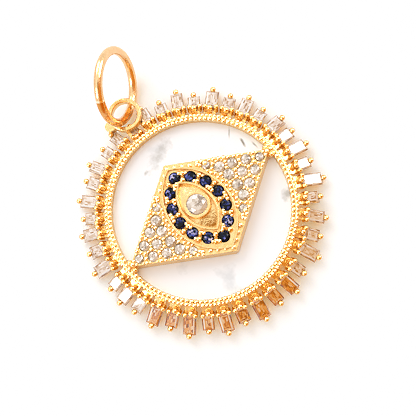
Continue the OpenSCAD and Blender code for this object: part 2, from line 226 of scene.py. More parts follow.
# Shade of a whole round stone against its neighbours', from the darkest to the lightest
OWN_SHADE = (0.8, 1.25)
# What sets the random tones apart: of neighbouring cuts and stones, of the middle stone, of the plaque's
# quarters, and of the blue row's sides
CUT_SEED = 1.3
STONE_SEED = 3.7
CENTRE_SEED = 5.0
QUARTER_SEEDS = (9.1, 3.3, 0)
SIDE_SEED = 20.5
# How cut stones take light: refraction, share of light that goes through, and strength of the mirror
DIAMOND = (2.4, 0.25, 0.5)
SAPPHIRE = (1.77, 0.0, 0.12)
# The painted shade on a stone's rim, in shares of its half width: where a step cut's begins to lighten, where
# it has ended, and how dark it gets
RIM_START = 0.05
RIM_SEEN = 0.2
RIM_SHADE = 0.4
# The shell: its tones from a grey drift to plain white, and the sizes of the drifts and of the marks' frayed
# edges in mm
PEARL_TONES = [(0.3, "#d8e0ea"), (0.4, "#eef5ff")]
DRIFT = 4
FRAY = 0.6
# In shares of a mark's half size: how far the fraying moves its edge, and where it fades from and to
FRAY_DEPTH = 1.6
MARK_FADE = (1.0, 2.0)
# Growth marks in the shell: place, turn in degrees, length, width and strength
MARK = "#8c8a84"
PEARL_MARKS = [
    (0.4, 7.5, 21, 4.0, 1.5, 0.45),
    (-2.0, 6.9, 30, 0.7, 0.4, 0.5),
    (8.05, 2.58, 80, 1.1, 0.3, 1.0),
    (8.85, 1.56, -85, 0.8, 0.2, 0.7),
    (7.66, 4.39, 50, 1.2, 0.16, 0.6),
    (7.9, -4.7, 10, 1.5, 1.1, 0.6),
]
disc_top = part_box("pearl_disc")[1][2]


# ---------------------------------------------------------------- materials


def polished_gold(name, tones, corner, waviness):
    """14 carat gold, polished by hand: its waves break up the reflections, and corners stay matt, with
    painted shade in them.
    """
    material, tree, output = new_material(name)
    place = object_coordinates(tree)
    # Waves left by the casting, and the finer grain of the tumbling
    waves = add(tree, "ShaderNodeTexNoise", {"Vector": place, "Scale": 1 / (WAVE * MM), "Detail": 2.0})
    grain = add(tree, "ShaderNodeTexNoise", {"Vector": place, "Scale": 1 / (TUMBLING * MM), "Detail": 1.0})
    tone = add(tree, "ShaderNodeValToRGB", {"Fac": waves.outputs["Fac"]}, stops=tones).outputs["Color"]
    if name == "drawn_gold_wire":
        tone = solder_seam(tree, place, tone)
    # Polishing doesn't reach the corners between beads and prongs, which stay matt; their deeper orange is
    # painted shade, standing in for the light bounced between the gold walls
    corners = add(tree, "ShaderNodeAmbientOcclusion", {"Distance": CORNER * MM}, samples=8)
    free = add(tree, "ShaderNodeMapRange", {
        "Value": corners.outputs["AO"], "From Min": CORNER_OPEN[0], "From Max": CORNER_OPEN[1]
        }).outputs["Result"]
    both = add(tree, "ShaderNodeMix", {"Factor": free, "A": linear(corner), "B": tone}, data_type="RGBA")
    shine = add(tree, "ShaderNodeMapRange", {
        "Value": grain.outputs["Fac"], "From Min": NOISE[0], "From Max": NOISE[1],
        "To Min": POLISHED[0], "To Max": POLISHED[1]})
    rough = add(tree, "ShaderNodeMix", {
        "Factor": free, "A": CORNER_ROUGHNESS, "B": shine.outputs["Result"]}, data_type="FLOAT")
    bare = add(tree, "ShaderNodeMapRange", {"Value": free, "To Min": CORNER_METAL})
    # Polishing rounds every edge a little, so edges catch the light
    round_edges = add(tree, "ShaderNodeBevel", {"Radius": ROUNDING * MM}, samples=4)
    wavy = add(tree, "ShaderNodeBump", {
        "Height": waves.outputs["Fac"], "Strength": waviness, "Distance": WAVE_DEPTH * MM,
        "Normal": round_edges.outputs["Normal"]})
    fine = add(tree, "ShaderNodeBump", {
        "Height": grain.outputs["Fac"], "Strength": waviness / 2, "Distance": TUMBLING_DEPTH * MM,
        "Normal": wavy.outputs["Normal"]})
    shader = add(tree, "ShaderNodeBsdfPrincipled", {
        "Base Color": both.outputs["Result"], "Metallic": bare.outputs["Result"],
        "Roughness": rough.outputs[0], "Normal": fine.outputs["Normal"]})
    tree.links.new(shader.outputs["BSDF"], output.inputs["Surface"])
    return material


def solder_seam(tree, place, tone):
    """The pale line across the loose ring's wire where its ends were soldered, and the heat's tint beyond."""
    across = add(tree, "ShaderNodeMapping", {"Vector": place, "Location": [c * MM for c in SEAM_PLACE],
                                             "Scale": [MM] * 3}, vector_type="TEXTURE").outputs[0]
    along = add(tree, "ShaderNodeVectorMath", {0: across, 1: SEAM_ALONG}, operation="DOT_PRODUCT")
    near = add(tree, "ShaderNodeVectorMath", {0: across}, operation="LENGTH")
    near = add(tree, "ShaderNodeMapRange", {
        "Value": near.outputs["Value"], "From Min": SEAM_REACH, "From Max": SEAM_REACH / 3})
    beyond = add(tree, "ShaderNodeMapRange", {"Value": along.outputs["Value"], "From Max": SEAM_START})
    tint = add(tree, "ShaderNodeMath", {0: beyond.outputs["Result"], 1: near.outputs["Result"]},
               operation="MULTIPLY")
    tone = add(tree, "ShaderNodeMix", {"Factor": tint.outputs[0], "A": tone, "B": linear(SEAM_TINT)},
               data_type="RGBA").outputs["Result"]
    off = add(tree, "ShaderNodeMath", {0: along.outputs["Value"]}, operation="ABSOLUTE")
    line = add(tree, "ShaderNodeMapRange", {"Value": off.outputs[0], "From Min": SEAM_WIDTH,
                                            "From Max": SEAM_WIDTH / 2})
    line = add(tree, "ShaderNodeMath", {0: line.outputs["Result"], 1: near.outputs["Result"]},
               operation="MULTIPLY")
    return add(tree, "ShaderNodeMix", {"Factor": line.outputs[0], "A": tone, "B": linear(SEAM_LINE)},
               data_type="RGBA").outputs["Result"]


def facet_group(name, labels):
    """An empty group that turns a place on a stone, in shares of its half width, into a shade from 0 to 1."""
    tree = bpy.data.node_groups.new(name, "ShaderNodeTree")
    tree.interface.new_socket("Place", in_out="INPUT", socket_type="NodeSocketVector")
    for label in labels:
        tree.interface.new_socket(label, in_out="INPUT", socket_type="NodeSocketFloat")
    tree.interface.new_socket("Shade", in_out="OUTPUT", socket_type="NodeSocketFloat")
    return tree, add(tree, "NodeGroupInput"), add(tree, "NodeGroupOutput")


def step_facets():
    """A step cut seen through its table: nested steps along four sides, each facet with its own tone of
    painted reflection.
    """
    tree, given, result = facet_group("step_cut_facets", ["Ratio", "Seed"])
    half = add(tree, "ShaderNodeCombineXYZ", {"X": given.outputs["Ratio"], "Y": 1.0})
    size = add(tree, "ShaderNodeVectorMath", {0: given.outputs["Place"]}, operation="ABSOLUTE")
    inside = add(tree, "ShaderNodeVectorMath", {0: half.outputs[0], 1: size.outputs[0]}, operation="SUBTRACT")
    edge = add(tree, "ShaderNodeSeparateXYZ", {"Vector": inside.outputs[0]})
    depth = add(tree, "ShaderNodeMath", {0: edge.outputs["X"], 1: edge.outputs["Y"]}, operation="MINIMUM")
    on_end = add(tree, "ShaderNodeMath", {0: edge.outputs["X"], 1: edge.outputs["Y"]}, operation="LESS_THAN")
    step = add(tree, "ShaderNodeMath", {0: depth.outputs[0], 1: STEPS_SEEN}, operation="MULTIPLY")
    step = add(tree, "ShaderNodeMath", {0: step.outputs[0]}, operation="FLOOR")
    sign = add(tree, "ShaderNodeVectorMath", {0: given.outputs["Place"]}, operation="SIGN")
    sign = add(tree, "ShaderNodeSeparateXYZ", {"Vector": sign.outputs[0]})
    side = add(tree, "ShaderNodeMix", {"Factor": on_end.outputs[0], "A": sign.outputs["Y"],
                                       "B": sign.outputs["X"]}, data_type="FLOAT")
    facet = add(tree, "ShaderNodeCombineXYZ", {"X": side.outputs[0], "Y": on_end.outputs[0],
                                               "Z": step.outputs[0]})
    slant = add(tree, "ShaderNodeVectorMath", {0: given.outputs["Place"], 1: (CUTS_SEEN, CUTS_SLANT, 0)},
                operation="DOT_PRODUCT")
    cut = add(tree, "ShaderNodeMath", {0: slant.outputs["Value"], 1: given.outputs["Seed"]}, operation="ADD")
    cut = add(tree, "ShaderNodeMath", {0: cut.outputs[0]}, operation="FLOOR")
    cut = add(tree, "ShaderNodeMath", {0: cut.outputs[0], 1: CUT_SEED, 2: given.outputs["Seed"]},
              operation="MULTIPLY_ADD")
    tone = add(tree, "ShaderNodeTexWhiteNoise", {"Vector": facet.outputs[0], "W": cut.outputs[0]},
               noise_dimensions="4D")
    # Painted reflections: streaks that the steps of the far side draw along the stone
    long = add(tree, "ShaderNodeVectorMath", {0: given.outputs["Place"], 1: STREAKS_SEEN},
               operation="MULTIPLY")
    streaks = add(tree, "ShaderNodeTexNoise", {"Vector": long.outputs[0], "W": given.outputs["Seed"],
                                               "Scale": 1.0, "Detail": 1.0}, noise_dimensions="4D")
    spread = add(tree, "ShaderNodeMapRange", {
        "Value": streaks.outputs["Fac"], "From Min": NOISE[0], "From Max": NOISE[1]})
    shade = add(tree, "ShaderNodeMix", {"Factor": STREAK_SHARE, "A": tone.outputs["Value"],
                                        "B": spread.outputs["Result"]}, data_type="FLOAT")
    # Painted highlight: on some sides the second step from the edge mirrors a light along its whole length
    second = add(tree, "ShaderNodeMath", {0: step.outputs[0], 1: GLINT_STEP, 2: 0.1}, operation="COMPARE")
    long_side = add(tree, "ShaderNodeMath", {0: second.outputs[0], 1: on_end.outputs[0]},
                    operation="SUBTRACT")
    chance = add(tree, "ShaderNodeTexWhiteNoise", {"Vector": facet.outputs[0], "W": given.outputs["Seed"]},
                 noise_dimensions="4D")
    glint = add(tree, "ShaderNodeMath", {0: chance.outputs["Value"], 1: GLINT_SHARE}, operation="LESS_THAN")
    glint = add(tree, "ShaderNodeMath", {0: glint.outputs[0], 1: long_side.outputs[0]}, operation="MULTIPLY")
    shade = add(tree, "ShaderNodeMath", {0: shade.outputs[0], 1: glint.outputs[0]}, operation="MAXIMUM")
    # Painted shade: the outermost step turns away from the light
    rim = add(tree, "ShaderNodeMapRange", {"Value": depth.outputs[0], "From Min": RIM_START,
                                           "From Max": RIM_SEEN, "To Min": RIM_SHADE})
    shade = add(tree, "ShaderNodeMath", {0: shade.outputs[0], 1: rim.outputs["Result"]}, operation="MULTIPLY")
    tree.links.new(shade.outputs[0], result.inputs["Shade"])
    return tree


def round_facets():
    """An eight-fold brilliant seen from above: rings of kites, each facet with its own tone of painted
    reflection.
    """
    tree, given, result = facet_group("brilliant_facets", ["Seed"])
    part = add(tree, "ShaderNodeSeparateXYZ", {"Vector": given.outputs["Place"]})
    flat = add(tree, "ShaderNodeCombineXYZ", {"X": part.outputs["X"], "Y": part.outputs["Y"]})
    out = add(tree, "ShaderNodeVectorMath", {0: flat.outputs[0]}, operation="LENGTH")
    angle = add(tree, "ShaderNodeMath", {0: part.outputs["Y"], 1: part.outputs["X"]}, operation="ARCTAN2")
    turn = add(tree, "ShaderNodeMath", {0: angle.outputs[0], 1: FOLDS / math.tau}, operation="MULTIPLY")
    zigzag = add(tree, "ShaderNodeMath", {0: turn.outputs[0], 1: 0.5}, operation="PINGPONG")
    rings = add(tree, "ShaderNodeMath", {0: out.outputs["Value"], 1: RINGS_SEEN, 2: zigzag.outputs[0]},
                operation="MULTIPLY_ADD")
    ring = add(tree, "ShaderNodeMath", {0: rings.outputs[0]}, operation="FLOOR")
    kite = add(tree, "ShaderNodeMath", {0: ring.outputs[0], 1: 0.5, 2: turn.outputs[0]},
               operation="MULTIPLY_ADD")
    kite = add(tree, "ShaderNodeMath", {0: kite.outputs[0]}, operation="FLOOR")
    facet = add(tree, "ShaderNodeCombineXYZ", {"X": kite.outputs[0], "Y": ring.outputs[0]})
    tone = add(tree, "ShaderNodeTexWhiteNoise", {"Vector": facet.outputs[0], "W": given.outputs["Seed"]},
               noise_dimensions="4D")
    wide = add(tree, "ShaderNodeTexNoise", {"Vector": flat.outputs[0], "W": given.outputs["Seed"],
                                            "Scale": SWEEP_WAVES, "Detail": 1.0}, noise_dimensions="4D")
    sweep = add(tree, "ShaderNodeMapRange", {
        "Value": wide.outputs["Fac"], "From Min": SWEEP_NOISE[0], "From Max": SWEEP_NOISE[1]})
    tone = add(tree, "ShaderNodeMix", {"Factor": SWEEP_SHARE, "A": tone.outputs["Value"],
                                       "B": sweep.outputs["Result"]}, data_type="FLOAT")
    own = add(tree, "ShaderNodeTexWhiteNoise", {"W": given.outputs["Seed"]}, noise_dimensions="1D")
    own = add(tree, "ShaderNodeMapRange", {
        "Value": own.outputs["Value"], "To Min": OWN_SHADE[0], "To Max": OWN_SHADE[1]})
    tone = add(tree, "ShaderNodeMath", {0: tone.outputs[0], 1: own.outputs["Result"]}, operation="MULTIPLY")
    # Painted shade: the rim turns away from the light
    rim = add(tree, "ShaderNodeMapRange", {"Value": out.outputs["Value"], "From Min": 1.0,
                                           "From Max": 1.0 - RIM_SEEN, "To Min": RIM_SHADE})
    shade = add(tree, "ShaderNodeMath", {0: tone.outputs[0], 1: rim.outputs["Result"]}, operation="MULTIPLY")
    tree.links.new(shade.outputs[0], result.inputs["Shade"])
    return tree


def stone_surface(tree, output, shade, tones, ior, clear, gloss):
    """Polished crystal: a painted reflection in a tone to each facet, some light through it, and the mirror
    of its flat faces.
    """
    tone = add(tree, "ShaderNodeValToRGB", {"Fac": shade}, stops=tones)
    shader = add(tree, "ShaderNodeBsdfPrincipled", {
        "Base Color": tone.outputs["Color"], "Roughness": 0.03, "IOR": ior, "Transmission Weight": clear,
        "Specular IOR Level": gloss})
    tree.links.new(shader.outputs["BSDF"], output.inputs["Surface"])


def own_frame(name):
    """Middle, turn and half sizes of a step-cut stone, from its own corners."""
    mesh = nodes[name].data
    corners = np.empty(3 * len(mesh.vertices))
    mesh.vertices.foreach_get("co", corners)
    corners = np.unique(corners.reshape(-1, 3).round(7), axis=0)
    middle = corners.mean(axis=0)
    along, across, up = np.linalg.svd(corners - middle, full_matrices=False)[2]
    along = along * np.sign(along @ middle)
    up = up * np.sign(up[2])
    axes = np.array([along, np.cross(up, along), up])
    half = abs((corners - middle) @ axes.T).max(axis=0)
    return middle, Matrix(axes.tolist()).transposed().to_euler(), half


def step_cut_stone(name, number, facets, tones):
    """A step-cut natural diamond of a champagne tint, its facets laid out along its own sides, their tones
    painted reflections.
    """
    material, tree, output = new_material(f"champagne_diamond_{number:02d}")
    middle, turn, half = own_frame(name)
    place = add(tree, "ShaderNodeMapping", {
        "Vector": object_coordinates(tree), "Location": middle, "Rotation": turn, "Scale": [half[1]] * 3},
        vector_type="TEXTURE")
    shade = add(tree, "ShaderNodeGroup", {"Place": place.outputs[0], "Ratio": half[0] / half[1],
                                          "Seed": STONE_SEED * number}, node_tree=facets)
    stone_surface(tree, output, shade.outputs["Shade"], tones, *DIAMOND)
    return material


def centre_stone(facets):
    """The round white diamond in the bezel."""
    material, tree, output = new_material("centre_white_diamond")
    low, high = (np.array(c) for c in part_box("centre_diamond"))
    middle, half = (low + high) / 2, (high[0] - low[0]) / 2
    place = add(tree, "ShaderNodeMapping", {
        "Vector": object_coordinates(tree), "Location": middle, "Scale": [half] * 3}, vector_type="TEXTURE")
    shade = add(tree, "ShaderNodeGroup", {"Place": place.outputs[0], "Seed": CENTRE_SEED}, node_tree=facets)
    stone_surface(tree, output, shade.outputs["Shade"], WHITE_TONES, *DIAMOND)
    return material


def small_diamonds(facets):
    """The round white diamonds on the plaque: each pattern of painted reflections is centred on its own
    stone.
    """
    material, tree, output = new_material("small_white_diamonds")
    place = object_coordinates(tree)
    folded = add(tree, "ShaderNodeVectorMath", {0: place}, operation="ABSOLUTE").outputs[0]
    best, nearest, seed = None, None, 0.0
    for number, (x, y, size) in enumerate(PAVE):
        own = add(tree, "ShaderNodeMapping", {
            "Vector": folded, "Location": (x * PLAQUE_L * MM, y * PLAQUE_W * MM, 0),
            "Scale": [size / 2 * MM] * 3}, vector_type="TEXTURE").outputs[0]
        flat = add(tree, "ShaderNodeVectorMath", {0: own, 1: (1, 1, 0)}, operation="MULTIPLY").outputs[0]
        off = add(tree, "ShaderNodeVectorMath", {0: flat}, operation="LENGTH").outputs["Value"]
        if best is None:
            best, nearest = flat, off
            continue
        closer = add(tree, "ShaderNodeMath", {0: off, 1: nearest}, operation="LESS_THAN").outputs[0]
        best = add(tree, "ShaderNodeMix", {"Factor": closer, "A": best, "B": flat},
                   data_type="VECTOR").outputs["Result"]
        seed = add(tree, "ShaderNodeMix", {"Factor": closer, "A": seed, "B": float(number)},
                   data_type="FLOAT").outputs[0]
        nearest = add(tree, "ShaderNodeMath", {0: off, 1: nearest}, operation="MINIMUM").outputs[0]
    quarter = add(tree, "ShaderNodeVectorMath", {0: place}, operation="SIGN").outputs[0]
    quarter = add(tree, "ShaderNodeVectorMath", {0: quarter, 1: QUARTER_SEEDS}, operation="DOT_PRODUCT")
    seed = add(tree, "ShaderNodeMath", {0: seed, 1: quarter.outputs["Value"]}, operation="ADD").outputs[0]
    shade = add(tree, "ShaderNodeGroup", {"Place": best, "Seed": seed}, node_tree=facets)
    stone_surface(tree, output, shade.outputs["Shade"], WHITE_TONES, *DIAMOND)
    return material


def blue_sapphires(facets):
    """Deep blue sapphires, with painted shade and highlights: nearly black where they turn from the light,
    with a few lit violet facets.
    """
    material, tree, output = new_material("deep_blue_sapphires")
    place = object_coordinates(tree)
    folded = add(tree, "ShaderNodeVectorMath", {0: place, 1: (1, 0, 0)}, operation="MULTIPLY").outputs[0]
    folded = add(tree, "ShaderNodeVectorMath", {0: folded}, operation="ABSOLUTE").outputs[0]
    upright = add(tree, "ShaderNodeVectorMath", {0: place, 1: (0, 1, 0)}, operation="MULTIPLY").outputs[0]
    folded = add(tree, "ShaderNodeVectorMath", {0: folded, 1: upright}, operation="ADD").outputs[0]
    # Each side of the row is an arc; its own middle is the origin here, in millimetres
    arc = add(tree, "ShaderNodeMapping", {
        "Vector": folded, "Location": ((ROW_W - ROW_R) * MM, ROW_Y * MM, 0), "Scale": [MM] * 3},
        vector_type="TEXTURE").outputs[0]
    arc = add(tree, "ShaderNodeVectorMath", {0: arc, 1: (1, 1, 0)}, operation="MULTIPLY").outputs[0]
    part = add(tree, "ShaderNodeSeparateXYZ", {"Vector": arc})
    reach = add(tree, "ShaderNodeVectorMath", {0: arc}, operation="LENGTH").outputs["Value"]
    angle = add(tree, "ShaderNodeMath", {0: part.outputs["Y"], 1: part.outputs["X"]},
                operation="ARCTAN2").outputs[0]
    count = add(tree, "ShaderNodeMath", {0: angle, 1: 1 / ROW_STEP}, operation="MULTIPLY").outputs[0]
    stone = add(tree, "ShaderNodeMath", {0: count}, operation="ROUND").outputs[0]
    off = add(tree, "ShaderNodeMath", {0: count, 1: stone}, operation="SUBTRACT").outputs[0]
    along = add(tree, "ShaderNodeMath", {0: off, 1: ROW_STEP * ROW_R / SAPPHIRE_R},
                operation="MULTIPLY").outputs[0]
    across = add(tree, "ShaderNodeMapRange", {"Value": reach, "From Min": ROW_R - SAPPHIRE_R,
                                              "From Max": ROW_R + SAPPHIRE_R, "To Min": -1.0}, clamp=False)
    own = add(tree, "ShaderNodeCombineXYZ", {"X": across.outputs["Result"], "Y": along}).outputs[0]
    side = add(tree, "ShaderNodeSeparateXYZ", {"Vector": place}).outputs["X"]
    side = add(tree, "ShaderNodeMath", {0: side}, operation="SIGN").outputs[0]
    seed = add(tree, "ShaderNodeMath", {0: side, 1: SIDE_SEED, 2: stone},
               operation="MULTIPLY_ADD").outputs[0]
    shade = add(tree, "ShaderNodeGroup", {"Place": own, "Seed": seed}, node_tree=facets)
    stone_surface(tree, output, shade.outputs["Shade"], BLUE_TONES, *SAPPHIRE)
    return material


def mother_of_pearl():
    """Polished white shell: milky, with faint grey drifts, a few growth marks and a clear gloss."""
    material, tree, output = new_material("mother_of_pearl")
    place = object_coordinates(tree)
    # Drifts where the shell's layers run out
    drifts = add(tree, "ShaderNodeTexNoise", {"Vector": place, "Scale": 1 / (DRIFT * MM), "Detail": 4.0})
    tone = add(tree, "ShaderNodeValToRGB", {"Fac": drifts.outputs["Fac"]},
               stops=PEARL_TONES).outputs["Color"]
    # Uneven edges for the marks
    frayed = add(tree, "ShaderNodeTexNoise", {"Vector": place, "Scale": 1 / (FRAY * MM), "Detail": 3.0})
    for x, y, turn, length, width, depth in PEARL_MARKS:
        own = add(tree, "ShaderNodeMapping", {
            "Vector": place, "Location": (x * MM, y * MM, disc_top), "Rotation": (0, 0, math.radians(turn)),
            "Scale": (length / 2 * MM, width / 2 * MM, 1 * MM)}, vector_type="TEXTURE").outputs[0]
        off = add(tree, "ShaderNodeVectorMath", {0: own}, operation="LENGTH").outputs["Value"]
        off = add(tree, "ShaderNodeMath", {0: frayed.outputs["Fac"], 1: FRAY_DEPTH, 2: off},
                  operation="MULTIPLY_ADD").outputs[0]
        share = add(tree, "ShaderNodeMapRange", {
            "Value": off, "From Min": MARK_FADE[0], "From Max": MARK_FADE[1], "To Min": depth,
            "To Max": 0.0}).outputs["Result"]
        tone = add(tree, "ShaderNodeMix", {"Factor": share, "A": tone, "B": linear(MARK)},
                   data_type="RGBA").outputs["Result"]
    shader = add(tree, "ShaderNodeBsdfPrincipled", {
        "Base Color": tone, "Roughness": 0.25, "Specular IOR Level": 0.6, "Coat Weight": 0.4,
        "Coat Roughness": 0.05})
    tree.links.new(shader.outputs["BSDF"], output.inputs["Surface"])
    return material


facets_of_steps = step_facets()
facets_of_rounds = round_facets()
# The beads' gold is paler, a painted highlight
bead_gold = polished_gold("gold_beads_with_painted_highlight", BEAD_HIGHLIGHT_TONES, BEAD_CORNER_SHADE, CAST_WAVES)
dress(polished_gold("polished_cast_gold", GOLD_TONES, GOLD_CORNER_SHADE, CAST_WAVES), "gold_frame")
dress(polished_gold("drawn_gold_wire", WIRE_TONES, GOLD_CORNER_SHADE, WIRE_WAVES), "jump_ring")
dress(mother_of_pearl(), "pearl_disc")
dress(centre_stone(facets_of_rounds), "centre_diamond")
dress(small_diamonds(facets_of_rounds), "pave_left", "pave_right")
dress(blue_sapphires(facets_of_rounds), "sapphires")
for number in range(1, STONES + 1):
    stone = f"baguette_{number:02d}"
    # Stones on the side away from the light take warmer tones: painted reflections of the gold
    tones = WARM_REFLECTION_TONES if number in WARM_REFLECTION_STONES else SOFT_WARM_REFLECTION_TONES if number in SOFT_WARM_REFLECTION_STONES else PALE_TONES
    dress(step_cut_stone(stone, number, facets_of_steps, tones), stone)


# ---------------------------------------------------------------- beading and grains


def bead_tree(material, spaced):
    """Beads along a path, a pitch apart, or else one at each point with the size stored there."""
    tree = bpy.data.node_groups.new("beads_along_path" if spaced else "grains_at_points", "GeometryNodeTree")
    face = tree.interface
    face.new_socket("Geometry", in_out="INPUT", socket_type="NodeSocketGeometry")
    labels = ["Pitch", "Bead", "Unevenness"] if spaced else ["Unevenness"]
    for label in labels:
        face.new_socket(label, in_out="INPUT", socket_type="NodeSocketFloat")
    face.new_socket("Geometry", in_out="OUTPUT", socket_type="NodeSocketGeometry")
    given = add(tree, "NodeGroupInput")
    result = add(tree, "NodeGroupOutput")
    if spaced:
        path = add(tree, "GeometryNodeMeshToCurve", {"Mesh": given.outputs["Geometry"]})
        points = add(tree, "GeometryNodeResampleCurve", {
            "Curve": path.outputs["Curve"], "Length": given.outputs["Pitch"]}, mode="LENGTH").outputs["Curve"]
        size = given.outputs["Bead"]
    else:
        points = given.outputs["Geometry"]
        size = add(tree, "GeometryNodeInputNamedAttribute", {"Name": "size"},
                   data_type="FLOAT").outputs["Attribute"]
    least = add(tree, "ShaderNodeMath", {0: 1.0, 1: given.outputs["Unevenness"]}, operation="SUBTRACT")
    most = add(tree, "ShaderNodeMath", {0: 1.0, 1: given.outputs["Unevenness"]}, operation="ADD")
    share = add(tree, "FunctionNodeRandomValue", {2: least.outputs[0], 3: most.outputs[0], "Seed": BEAD_SEED},
                data_type="FLOAT")
    scale = add(tree, "ShaderNodeMath", {0: size, 1: share.outputs[1]}, operation="MULTIPLY")
    bead = add(tree, "GeometryNodeMeshIcoSphere", {"Radius": 0.5, "Subdivisions": 2})
    placed = add(tree, "GeometryNodeInstanceOnPoints", {
        "Points": points, "Instance": bead.outputs["Mesh"], "Scale": scale.outputs[0]})
    real = add(tree, "GeometryNodeRealizeInstances", {"Geometry": placed.outputs["Instances"]})
    smooth = add(tree, "GeometryNodeSetShadeSmooth", {"Geometry": real.outputs["Geometry"]})
    finished = add(tree, "GeometryNodeSetMaterial", {
        "Geometry": smooth.outputs["Geometry"], "Material": material})
    tree.links.new(finished.outputs["Geometry"], result.inputs["Geometry"])
    return tree


def made_by(name, tree, points, edges, sizes=None, **values):
    """Runs a tree on points and edges given in millimetres, and keeps the result as a plain mesh piece."""
    base = bpy.data.meshes.new(name + "_base")
    base.from_pydata([[c * MM for c in p] for p in points], edges, [])
    if sizes is not None:
        base.attributes.new("size", "FLOAT", "POINT").data.foreach_set("value", [s * MM for s in sizes])
    piece = bpy.data.objects.new(name, base)
    scene.collection.objects.link(piece)
    modifier = piece.modifiers.new("make", "NODES")
    modifier.node_group = tree
    for item in tree.interface.items_tree:
        if item.in_out == "INPUT" and item.name in values:
            modifier[item.identifier] = values[item.name]
    graph = bpy.context.evaluated_depsgraph_get()
    mesh = bpy.data.meshes.new_from_object(piece.evaluated_get(graph), depsgraph=graph)
    piece.modifiers.clear()
    piece.data = mesh
    mesh.name = name
    bpy.data.meshes.remove(base)
    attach(piece, "root")
    return piece


def band_beading(tree):
    """The rows of beads round the ring."""
    turns = [math.tau * k / RING_POINTS for k in range(RING_POINTS)]
    edges = [(k, (k + 1) % RING_POINTS) for k in range(RING_POINTS)]
    for row, (radius, z, pitch, bead) in enumerate(BAND_ROWS, 1):
        ring = [(radius * math.cos(turn), radius * math.sin(turn), z) for turn in turns]
        made_by(f"ring_beading_{row}", tree, ring, edges,
                Pitch=pitch * MM, Bead=bead * MM, Unevenness=BAND_UNEVEN)


def inset_corner(side):
    """The blunt corner on one side, moved in so that a line from it runs beside the edges."""
    return side * (PLAQUE_W - EDGE_INSET / math.cos(math.atan(PLAQUE_W / PLAQUE_L)))


def edge_beading(tree):
    """A line of beads along each of the plaque's edges, from its blunt corner."""
    points, edges = [], []
    for side in (-1, 1):
        y = inset_corner(side)
        for end in (-1, 1):
            start = len(points)
            points += [(0, y, PLAQUE_Z),
                       (end * PLAQUE_L * EDGE_SHARE, y - side * PLAQUE_W * EDGE_SHARE, PLAQUE_Z)]
            edges.append((start, start + 1))
    made_by("plaque_edge_beading", tree, points, edges,
            Pitch=EDGE_PITCH * MM, Bead=EDGE_BEAD * MM, Unevenness=EDGE_UNEVEN)


def row_place(k, side):
    """Place k along the row of blue stones, counted from its lower tip, moved out from the row's middle."""
    near = k if k <= ROW_STONES / 2 else ROW_STONES - k
    angle = ROW_STEP * (near - ROW_STONES / 4)
    x = (ROW_R + side) * math.cos(angle) - ROW_R + ROW_W
    return (x if near == k else -x, (ROW_R + side) * math.sin(angle) + ROW_Y, ROW_BEAD_Z)


def row_beads(tree):
    """The beads that the setter pushed over the blue stones' edges, a pair to a stone."""
    beads = []
    for k in range(ROW_STONES):
        lean = 1 if k % 3 else -1
        beads += [row_place((k + lean * ROW_BEAD_ALONG) % ROW_STONES, ROW_BEAD_SIDE),
                  row_place((k - lean * ROW_BEAD_ALONG) % ROW_STONES, -ROW_BEAD_SIDE)]
    made_by("blue_row_beads", tree, beads, [], sizes=[ROW_BEAD] * len(beads), Unevenness=ROW_UNEVEN)


def pave_grains(tree):
    """Fills the widest gaps between the small diamonds with grains, largest first."""
    eye_r = (EYE_L**2 + EYE_W**2) / (2 * EYE_W)
    slope = math.atan(PLAQUE_W / PLAQUE_L)
    stones = [(sx * x * PLAQUE_L, sy * y * PLAQUE_W, d / 2) for x, y, d in PAVE
              for sx in (-1, 1) for sy in ((-1, 1) if y else (1,))]
    x, y = np.meshgrid(np.arange(-PLAQUE_L, PLAQUE_L, GRAIN_STEP), np.arange(-PLAQUE_W, PLAQUE_W, GRAIN_STEP))
    x, y = x.ravel(), y.ravel()
    edge = (PLAQUE_W - abs(y)) * math.cos(slope) - abs(x) * math.sin(slope)
    eye = np.hypot(abs(x) + eye_r - EYE_W, y) - eye_r
    kept = (edge > EDGE_ROOM) & (eye > EDGE_ROOM) & (abs(x) > PAVE_START * PLAQUE_L)
    x, y = x[kept], y[kept]
    gap = np.min([np.hypot(x - a, y - b) - r for a, b, r in stones], axis=0)
    grains = []
    while gap.max() > GRAIN_GAP:
        best = int(gap.argmax())
        size = max(GRAIN_MIN, min(GRAIN_MAX, 2 * gap[best] + GRAIN_OVERLAP))
        grains.append((x[best], y[best], size))
        gap = np.minimum(gap, np.hypot(x - x[best], y - y[best]) - size / 2 - GRAIN_GAP)
    made_by("pave_grains", tree, [(a, b, PLAQUE_Z + GRAIN_RISE) for a, b, _ in grains], [],
            sizes=[s for _, _, s in grains], Unevenness=GRAIN_UNEVEN)


beads_along_path = bead_tree(bead_gold, True)
band_beading(beads_along_path)
edge_beading(beads_along_path)
grains_at_points = bead_tree(bead_gold, False)
row_beads(grains_at_points)
pave_grains(grains_at_points)


# ---------------------------------------------------------------- table, light and camera


# The photograph's frame: its width in pixels, millimetres to a pixel at the table, and the pixel that
# the pendant's origin falls on. The camera: width of its sensor in mm, distance, tilt and where it tilts
# towards, with the pendant's own turn
IMAGE = 416
MM_PER_PIXEL = 0.108
ORIGIN_PIXEL = (202.16, 211.34)
SENSOR = 36
CAMERA_DISTANCE = 75 * MM
CAMERA_TILT = math.radians(9)
TILT_TOWARDS = math.radians(-55)
PENDANT_TURN = math.radians(40.5)

# The table is a sheet of milky acrylic: half its side, how far it lies under the pendant, and its tooth, in
# mm, and its tones
TABLE_HALF = 500
TABLE_CLEAR = 0.02
TOOTH = 0.2
TABLE_TONES = [(0.3, "#dae8fb"), (0.7, "#dfecfe")]
# The sheet glows evenly, as if lit from under it, which lightens the shadows
TABLE_GLOW = "#ffe3a4"
TABLE_LIT = 0.22
